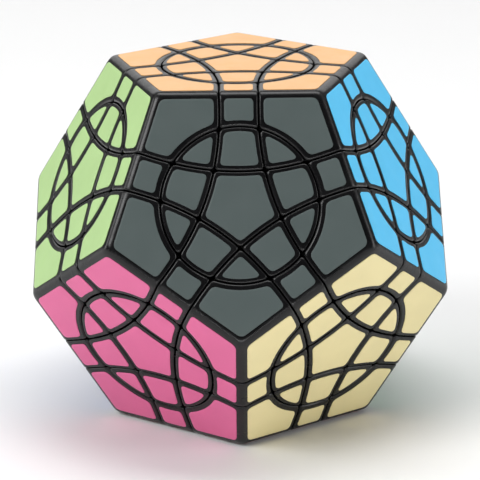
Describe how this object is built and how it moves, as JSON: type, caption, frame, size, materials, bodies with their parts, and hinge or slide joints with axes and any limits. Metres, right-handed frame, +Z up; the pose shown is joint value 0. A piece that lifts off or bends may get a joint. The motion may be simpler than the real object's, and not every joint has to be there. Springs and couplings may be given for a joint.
{
  "type": "dodecahedron twisty puzzle",
  "caption": "Black dodecahedral twisty puzzle with deep-cut face layers and a round cut on every face, turning on a hidden core.",
  "frame": {"origin": "middle of the face that the puzzle stands on", "axes": "+Z up through the middle of the top face, -Y towards the grey face at the front, +X to the right"},
  "size_m": [0.1074, 0.1128, 0.0913],
  "materials": {
    "black_plastic": "glossy black moulded plastic",
    "core_plastic": "satin black moulded plastic",
    "steel": "plain zinc-plated steel"
  },
  "bodies": {
    "core": {"core_spider": "core_plastic", "centre_caps": "black_plastic", "face_screws": "steel", "face_springs": "steel", "spring_washers": "steel", "hub_red": "black_plastic", "petals_of_red": "black_plastic"},
    "layer_orange": {"hub_set_orange": "black_plastic"},
    "layer_grey": {"hub_set_grey": "black_plastic"},
    "layer_sky": {"hub_set_sky": "black_plastic"},
    "layer_purple": {"hub_set_purple": "black_plastic"},
    "layer_yellow": {"hub_set_yellow": "black_plastic"},
    "layer_lime": {"hub_set_lime": "black_plastic"},
    "layer_cream": {"hub_set_cream": "black_plastic"},
    "layer_green": {"hub_set_green": "black_plastic"},
    "layer_white": {"hub_set_white": "black_plastic"},
    "layer_blue": {"hub_set_blue": "black_plastic"},
    "layer_pink": {"hub_set_pink": "black_plastic"},
    "edge_orange_grey": {"edge_orange_grey": "black_plastic"},
    "edge_orange_sky": {"edge_orange_sky": "black_plastic"},
    "edge_orange_purple": {"edge_orange_purple": "black_plastic"},
    "edge_orange_yellow": {"edge_orange_yellow": "black_plastic"},
    "edge_orange_lime": {"edge_orange_lime": "black_plastic"},
    "edge_grey_sky": {"edge_grey_sky": "black_plastic"},
    "edge_grey_lime": {"edge_grey_lime": "black_plastic"},
    "edge_grey_cream": {"edge_grey_cream": "black_plastic"},
    "edge_grey_pink": {"edge_grey_pink": "black_plastic"},
    "edge_sky_purple": {"edge_sky_purple": "black_plastic"},
    "edge_sky_cream": {"edge_sky_cream": "black_plastic"},
    "edge_sky_green": {"edge_sky_green": "black_plastic"},
    "edge_purple_yellow": {"edge_purple_yellow": "black_plastic"},
    "edge_purple_green": {"edge_purple_green": "black_plastic"},
    "edge_purple_white": {"edge_purple_white": "black_plastic"},
    "edge_yellow_lime": {"edge_yellow_lime": "black_plastic"},
    "edge_yellow_white": {"edge_yellow_white": "black_plastic"},
    "edge_yellow_blue": {"edge_yellow_blue": "black_plastic"},
    "edge_lime_blue": {"edge_lime_blue": "black_plastic"},
    "edge_lime_pink": {"edge_lime_pink": "black_plastic"},
    "edge_cream_green": {"edge_cream_green": "black_plastic"},
    "edge_cream_pink": {"edge_cream_pink": "black_plastic"},
    "edge_green_white": {"edge_green_white": "black_plastic"},
    "edge_white_blue": {"edge_white_blue": "black_plastic"},
    "edge_blue_pink": {"edge_blue_pink": "black_plastic"},
    "corner_orange_grey_sky": {"corner_orange_grey_sky": "black_plastic"},
    "corner_orange_grey_lime": {"corner_orange_grey_lime": "black_plastic"},
    "corner_orange_sky_purple": {"corner_orange_sky_purple": "black_plastic"},
    "corner_orange_purple_yellow": {"corner_orange_purple_yellow": "black_plastic"},
    "corner_orange_yellow_lime": {"corner_orange_yellow_lime": "black_plastic"},
    "corner_grey_sky_cream": {"corner_grey_sky_cream": "black_plastic"},
    "corner_grey_lime_pink": {"corner_grey_lime_pink": "black_plastic"},
    "corner_grey_cream_pink": {"corner_grey_cream_pink": "black_plastic"},
    "corner_sky_purple_green": {"corner_sky_purple_green": "black_plastic"},
    "corner_sky_cream_green": {"corner_sky_cream_green": "black_plastic"},
    "corner_purple_yellow_white": {"corner_purple_yellow_white": "black_plastic"},
    "corner_purple_green_white": {"corner_purple_green_white": "black_plastic"},
    "corner_yellow_lime_blue": {"corner_yellow_lime_blue": "black_plastic"},
    "corner_yellow_white_blue": {"corner_yellow_white_blue": "black_plastic"},
    "corner_lime_blue_pink": {"corner_lime_blue_pink": "black_plastic"}
  },
  "joints": [
    {"name": "turn_orange", "type": "hinge", "parent": "core", "child": "layer_orange", "pos_m": [0, 0, 0.04565], "axis": [0, 0, 1], "continuous": true},
    {"name": "turn_grey", "type": "hinge", "parent": "core", "child": "layer_grey", "pos_m": [0, 0, 0.04565], "axis": [0, -0.8944, 0.4472], "range_deg": [-360, 360]},
    {"name": "turn_sky", "type": "hinge", "parent": "core", "child": "layer_sky", "pos_m": [0, 0, 0.04565], "axis": [0.8507, -0.2764, 0.4472], "range_deg": [-360, 360]},
    {"name": "turn_purple", "type": "hinge", "parent": "core", "child": "layer_purple", "pos_m": [0, 0, 0.04565], "axis": [0.5257, 0.7236, 0.4472], "range_deg": [-360, 360]},
    {"name": "turn_yellow", "type": "hinge", "parent": "core", "child": "layer_yellow", "pos_m": [0, 0, 0.04565], "axis": [-0.5257, 0.7236, 0.4472], "range_deg": [-360, 360]},
    {"name": "turn_lime", "type": "hinge", "parent": "core", "child": "layer_lime", "pos_m": [0, 0, 0.04565], "axis": [-0.8507, -0.2764, 0.4472], "range_deg": [-360, 360]},
    {"name": "turn_cream", "type": "hinge", "parent": "core", "child": "layer_cream", "pos_m": [0, 0, 0.04565], "axis": [0.5257, -0.7236, -0.4472], "continuous": true},
    {"name": "turn_green", "type": "hinge", "parent": "core", "child": "layer_green", "pos_m": [0, 0, 0.04565], "axis": [0.8507, 0.2764, -0.4472], "range_deg": [-360, 360]},
    {"name": "turn_white", "type": "hinge", "parent": "core", "child": "layer_white", "pos_m": [0, 0, 0.04565], "axis": [0, 0.8944, -0.4472], "continuous": true},
    {"name": "turn_blue", "type": "hinge", "parent": "core", "child": "layer_blue", "pos_m": [0, 0, 0.04565], "axis": [-0.8507, 0.2764, -0.4472], "range_deg": [-360, 360]},
    {"name": "turn_pink", "type": "hinge", "parent": "core", "child": "layer_pink", "pos_m": [0, 0, 0.04565], "axis": [-0.5257, -0.7236, -0.4472], "range_deg": [-360, 360]},
    {"name": "edge_orange_grey_with_grey", "type": "hinge", "parent": "layer_orange", "child": "edge_orange_grey", "pos_m": [0, 0, 0.04565], "axis": [0, -0.8944, 0.4472], "range_deg": [-360, 360]},
    {"name": "edge_orange_sky_with_sky", "type": "hinge", "parent": "layer_orange", "child": "edge_orange_sky", "pos_m": [0, 0, 0.04565], "axis": [0.8507, -0.2764, 0.4472], "range_deg": [-360, 360]},
    {"name": "edge_orange_purple_with_purple", "type": "hinge", "parent": "layer_orange", "child": "edge_orange_purple", "pos_m": [0, 0, 0.04565], "axis": [0.5257, 0.7236, 0.4472], "range_deg": [-360, 360]},
    {"name": "edge_orange_yellow_with_yellow", "type": "hinge", "parent": "layer_orange", "child": "edge_orange_yellow", "pos_m": [0, 0, 0.04565], "axis": [-0.5257, 0.7236, 0.4472], "range_deg": [-360, 360]},
    {"name": "edge_orange_lime_with_lime", "type": "hinge", "parent": "layer_orange", "child": "edge_orange_lime", "pos_m": [0, 0, 0.04565], "axis": [-0.8507, -0.2764, 0.4472], "range_deg": [-360, 360]},
    {"name": "edge_grey_sky_with_sky", "type": "hinge", "parent": "layer_grey", "child": "edge_grey_sky", "pos_m": [0, 0, 0.04565], "axis": [0.8507, -0.2764, 0.4472], "range_deg": [-360, 360]},
    {"name": "edge_grey_lime_with_lime", "type": "hinge", "parent": "layer_grey", "child": "edge_grey_lime", "pos_m": [0, 0, 0.04565], "axis": [-0.8507, -0.2764, 0.4472], "range_deg": [-360, 360]},
    {"name": "edge_grey_cream_with_cream", "type": "hinge", "parent": "layer_grey", "child": "edge_grey_cream", "pos_m": [0, 0, 0.04565], "axis": [0.5257, -0.7236, -0.4472], "continuous": true},
    {"name": "edge_grey_pink_with_pink", "type": "hinge", "parent": "layer_grey", "child": "edge_grey_pink", "pos_m": [0, 0, 0.04565], "axis": [-0.5257, -0.7236, -0.4472], "range_deg": [-360, 360]},
    {"name": "edge_sky_purple_with_purple", "type": "hinge", "parent": "layer_sky", "child": "edge_sky_purple", "pos_m": [0, 0, 0.04565], "axis": [0.5257, 0.7236, 0.4472], "range_deg": [-360, 360]},
    {"name": "edge_sky_cream_with_cream", "type": "hinge", "parent": "layer_sky", "child": "edge_sky_cream", "pos_m": [0, 0, 0.04565], "axis": [0.5257, -0.7236, -0.4472], "continuous": true},
    {"name": "edge_sky_green_with_green", "type": "hinge", "parent": "layer_sky", "child": "edge_sky_green", "pos_m": [0, 0, 0.04565], "axis": [0.8507, 0.2764, -0.4472], "range_deg": [-360, 360]},
    {"name": "edge_purple_yellow_with_yellow", "type": "hinge", "parent": "layer_purple", "child": "edge_purple_yellow", "pos_m": [0, 0, 0.04565], "axis": [-0.5257, 0.7236, 0.4472], "range_deg": [-360, 360]},
    {"name": "edge_purple_green_with_green", "type": "hinge", "parent": "layer_purple", "child": "edge_purple_green", "pos_m": [0, 0, 0.04565], "axis": [0.8507, 0.2764, -0.4472], "range_deg": [-360, 360]},
    {"name": "edge_purple_white_with_white", "type": "hinge", "parent": "layer_purple", "child": "edge_purple_white", "pos_m": [0, 0, 0.04565], "axis": [0, 0.8944, -0.4472], "continuous": true},
    {"name": "edge_yellow_lime_with_lime", "type": "hinge", "parent": "layer_yellow", "child": "edge_yellow_lime", "pos_m": [0, 0, 0.04565], "axis": [-0.8507, -0.2764, 0.4472], "range_deg": [-360, 360]},
    {"name": "edge_yellow_white_with_white", "type": "hinge", "parent": "layer_yellow", "child": "edge_yellow_white", "pos_m": [0, 0, 0.04565], "axis": [0, 0.8944, -0.4472], "continuous": true},
    {"name": "edge_yellow_blue_with_blue", "type": "hinge", "parent": "layer_yellow", "child": "edge_yellow_blue", "pos_m": [0, 0, 0.04565], "axis": [-0.8507, 0.2764, -0.4472], "range_deg": [-360, 360]},
    {"name": "edge_lime_blue_with_blue", "type": "hinge", "parent": "layer_lime", "child": "edge_lime_blue", "pos_m": [0, 0, 0.04565], "axis": [-0.8507, 0.2764, -0.4472], "range_deg": [-360, 360]},
    {"name": "edge_lime_pink_with_pink", "type": "hinge", "parent": "layer_lime", "child": "edge_lime_pink", "pos_m": [0, 0, 0.04565], "axis": [-0.5257, -0.7236, -0.4472], "range_deg": [-360, 360]},
    {"name": "edge_cream_green_with_green", "type": "hinge", "parent": "layer_cream", "child": "edge_cream_green", "pos_m": [0, 0, 0.04565], "axis": [0.8507, 0.2764, -0.4472], "range_deg": [-360, 360]},
    {"name": "edge_cream_pink_with_pink", "type": "hinge", "parent": "layer_cream", "child": "edge_cream_pink", "pos_m": [0, 0, 0.04565], "axis": [-0.5257, -0.7236, -0.4472], "range_deg": [-360, 360]},
    {"name": "edge_green_white_with_white", "type": "hinge", "parent": "layer_green", "child": "edge_green_white", "pos_m": [0, 0, 0.04565], "axis": [0, 0.8944, -0.4472], "continuous": true},
    {"name": "edge_white_blue_with_blue", "type": "hinge", "parent": "layer_white", "child": "edge_white_blue", "pos_m": [0, 0, 0.04565], "axis": [-0.8507, 0.2764, -0.4472], "range_deg": [-360, 360]},
    {"name": "edge_blue_pink_with_pink", "type": "hinge", "parent": "layer_blue", "child": "edge_blue_pink", "pos_m": [0, 0, 0.04565], "axis": [-0.5257, -0.7236, -0.4472], "range_deg": [-360, 360]},
    {"name": "corner_orange_grey_sky_with_sky", "type": "hinge", "parent": "edge_orange_grey", "child": "corner_orange_grey_sky", "pos_m": [0, 0, 0.04565], "axis": [0.8507, -0.2764, 0.4472], "range_deg": [-360, 360]},
    {"name": "corner_orange_grey_lime_with_lime", "type": "hinge", "parent": "edge_orange_grey", "child": "corner_orange_grey_lime", "pos_m": [0, 0, 0.04565], "axis": [-0.8507, -0.2764, 0.4472], "range_deg": [-360, 360]},
    {"name": "corner_orange_sky_purple_with_purple", "type": "hinge", "parent": "edge_orange_sky", "child": "corner_orange_sky_purple", "pos_m": [0, 0, 0.04565], "axis": [0.5257, 0.7236, 0.4472], "range_deg": [-360, 360]},
    {"name": "corner_orange_purple_yellow_with_yellow", "type": "hinge", "parent": "edge_orange_purple", "child": "corner_orange_purple_yellow", "pos_m": [0, 0, 0.04565], "axis": [-0.5257, 0.7236, 0.4472], "range_deg": [-360, 360]},
    {"name": "corner_orange_yellow_lime_with_lime", "type": "hinge", "parent": "edge_orange_yellow", "child": "corner_orange_yellow_lime", "pos_m": [0, 0, 0.04565], "axis": [-0.8507, -0.2764, 0.4472], "range_deg": [-360, 360]},
    {"name": "corner_grey_sky_cream_with_cream", "type": "hinge", "parent": "edge_grey_sky", "child": "corner_grey_sky_cream", "pos_m": [0, 0, 0.04565], "axis": [0.5257, -0.7236, -0.4472], "continuous": true},
    {"name": "corner_grey_lime_pink_with_pink", "type": "hinge", "parent": "edge_grey_lime", "child": "corner_grey_lime_pink", "pos_m": [0, 0, 0.04565], "axis": [-0.5257, -0.7236, -0.4472], "range_deg": [-360, 360]},
    {"name": "corner_grey_cream_pink_with_pink", "type": "hinge", "parent": "edge_grey_cream", "child": "corner_grey_cream_pink", "pos_m": [0, 0, 0.04565], "axis": [-0.5257, -0.7236, -0.4472], "range_deg": [-360, 360]},
    {"name": "corner_sky_purple_green_with_green", "type": "hinge", "parent": "edge_sky_purple", "child": "corner_sky_purple_green", "pos_m": [0, 0, 0.04565], "axis": [0.8507, 0.2764, -0.4472], "range_deg": [-360, 360]},
    {"name": "corner_sky_cream_green_with_green", "type": "hinge", "parent": "edge_sky_cream", "child": "corner_sky_cream_green", "pos_m": [0, 0, 0.04565], "axis": [0.8507, 0.2764, -0.4472], "range_deg": [-360, 360]},
    {"name": "corner_purple_yellow_white_with_white", "type": "hinge", "parent": "edge_purple_yellow", "child": "corner_purple_yellow_white", "pos_m": [0, 0, 0.04565], "axis": [0, 0.8944, -0.4472], "continuous": true},
    {"name": "corner_purple_green_white_with_white", "type": "hinge", "parent": "edge_purple_green", "child": "corner_purple_green_white", "pos_m": [0, 0, 0.04565], "axis": [0, 0.8944, -0.4472], "continuous": true},
    {"name": "corner_yellow_lime_blue_with_blue", "type": "hinge", "parent": "edge_yellow_lime", "child": "corner_yellow_lime_blue", "pos_m": [0, 0, 0.04565], "axis": [-0.8507, 0.2764, -0.4472], "range_deg": [-360, 360]},
    {"name": "corner_yellow_white_blue_with_blue", "type": "hinge", "parent": "edge_yellow_white", "child": "corner_yellow_white_blue", "pos_m": [0, 0, 0.04565], "axis": [-0.8507, 0.2764, -0.4472], "range_deg": [-360, 360]},
    {"name": "corner_lime_blue_pink_with_pink", "type": "hinge", "parent": "edge_lime_blue", "child": "corner_lime_blue_pink", "pos_m": [0, 0, 0.04565], "axis": [-0.5257, -0.7236, -0.4472], "range_deg": [-360, 360]}
  ],
  "couplings": [
    {"joint": "edge_orange_grey_with_grey", "follows": "turn_grey", "ratio": 1},
    {"joint": "edge_orange_sky_with_sky", "follows": "turn_sky", "ratio": 1},
    {"joint": "edge_orange_purple_with_purple", "follows": "turn_purple", "ratio": 1},
    {"joint": "edge_orange_yellow_with_yellow", "follows": "turn_yellow", "ratio": 1},
    {"joint": "edge_orange_lime_with_lime", "follows": "turn_lime", "ratio": 1},
    {"joint": "edge_grey_sky_with_sky", "follows": "turn_sky", "ratio": 1},
    {"joint": "edge_grey_lime_with_lime", "follows": "turn_lime", "ratio": 1},
    {"joint": "edge_grey_cream_with_cream", "follows": "turn_cream", "ratio": 1},
    {"joint": "edge_grey_pink_with_pink", "follows": "turn_pink", "ratio": 1},
    {"joint": "edge_sky_purple_with_purple", "follows": "turn_purple", "ratio": 1},
    {"joint": "edge_sky_cream_with_cream", "follows": "turn_cream", "ratio": 1},
    {"joint": "edge_sky_green_with_green", "follows": "turn_green", "ratio": 1},
    {"joint": "edge_purple_yellow_with_yellow", "follows": "turn_yellow", "ratio": 1},
    {"joint": "edge_purple_green_with_green", "follows": "turn_green", "ratio": 1},
    {"joint": "edge_purple_white_with_white", "follows": "turn_white", "ratio": 1},
    {"joint": "edge_yellow_lime_with_lime", "follows": "turn_lime", "ratio": 1},
    {"joint": "edge_yellow_white_with_white", "follows": "turn_white", "ratio": 1},
    {"joint": "edge_yellow_blue_with_blue", "follows": "turn_blue", "ratio": 1},
    {"joint": "edge_lime_blue_with_blue", "follows": "turn_blue", "ratio": 1},
    {"joint": "edge_lime_pink_with_pink", "follows": "turn_pink", "ratio": 1},
    {"joint": "edge_cream_green_with_green", "follows": "turn_green", "ratio": 1},
    {"joint": "edge_cream_pink_with_pink", "follows": "turn_pink", "ratio": 1},
    {"joint": "edge_green_white_with_white", "follows": "turn_white", "ratio": 1},
    {"joint": "edge_white_blue_with_blue", "follows": "turn_blue", "ratio": 1},
    {"joint": "edge_blue_pink_with_pink", "follows": "turn_pink", "ratio": 1},
    {"joint": "corner_orange_grey_sky_with_sky", "follows": "turn_sky", "ratio": 1},
    {"joint": "corner_orange_grey_lime_with_lime", "follows": "turn_lime", "ratio": 1},
    {"joint": "corner_orange_sky_purple_with_purple", "follows": "turn_purple", "ratio": 1},
    {"joint": "corner_orange_purple_yellow_with_yellow", "follows": "turn_yellow", "ratio": 1},
    {"joint": "corner_orange_yellow_lime_with_lime", "follows": "turn_lime", "ratio": 1},
    {"joint": "corner_grey_sky_cream_with_cream", "follows": "turn_cream", "ratio": 1},
    {"joint": "corner_grey_lime_pink_with_pink", "follows": "turn_pink", "ratio": 1},
    {"joint": "corner_grey_cream_pink_with_pink", "follows": "turn_pink", "ratio": 1},
    {"joint": "corner_sky_purple_green_with_green", "follows": "turn_green", "ratio": 1},
    {"joint": "corner_sky_cream_green_with_green", "follows": "turn_green", "ratio": 1},
    {"joint": "corner_purple_yellow_white_with_white", "follows": "turn_white", "ratio": 1},
    {"joint": "corner_purple_green_white_with_white", "follows": "turn_white", "ratio": 1},
    {"joint": "corner_yellow_lime_blue_with_blue", "follows": "turn_blue", "ratio": 1},
    {"joint": "corner_yellow_white_blue_with_blue", "follows": "turn_blue", "ratio": 1},
    {"joint": "corner_lime_blue_pink_with_pink", "follows": "turn_pink", "ratio": 1}
  ]
}
